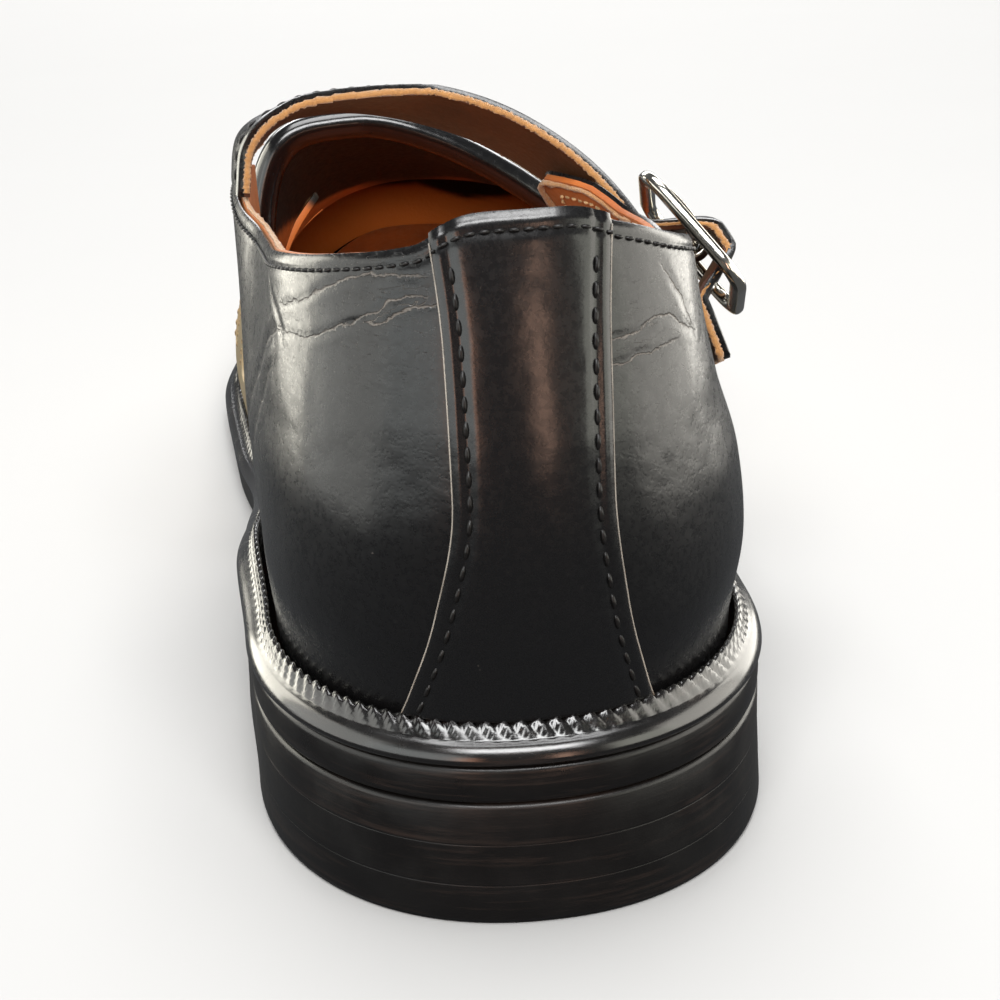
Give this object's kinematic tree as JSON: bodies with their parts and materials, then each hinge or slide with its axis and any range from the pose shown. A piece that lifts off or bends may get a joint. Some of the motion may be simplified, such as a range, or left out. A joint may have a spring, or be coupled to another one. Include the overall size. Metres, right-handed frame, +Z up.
{
  "type": "fisherman sandal",
  "caption": "Right-foot leather sandal with a closed back, slotted vamp, buckled instep strap and a welted sole with a low block heel.",
  "frame": {"origin": "on the floor, in the middle of the sole's outline box", "axes": "+Z up, +Y from heel to toe, +X towards the outer side of the right foot"},
  "size_m": [0.1052, 0.3019, 0.096],
  "materials": {
    "black_leather": "smooth polished calf, lined",
    "cream_leather": "matt smooth leather",
    "tan_leather": "bare vegetable-tanned leather",
    "sole_leather": "edge-inked and waxed",
    "nickel": "polished nickel plate"
  },
  "bodies": {
    "root": {"upper": "black_leather", "vamp": "cream_leather", "centre_strap": "cream_leather", "back_strip": "black_leather", "instep_strap": "black_leather", "buckle_frame": "nickel", "buckle_prong": "nickel", "buckle_chape": "black_leather", "insole": "tan_leather", "welt": "sole_leather", "outsole": "sole_leather", "heel": "sole_leather"}
  },
  "joints": []
}
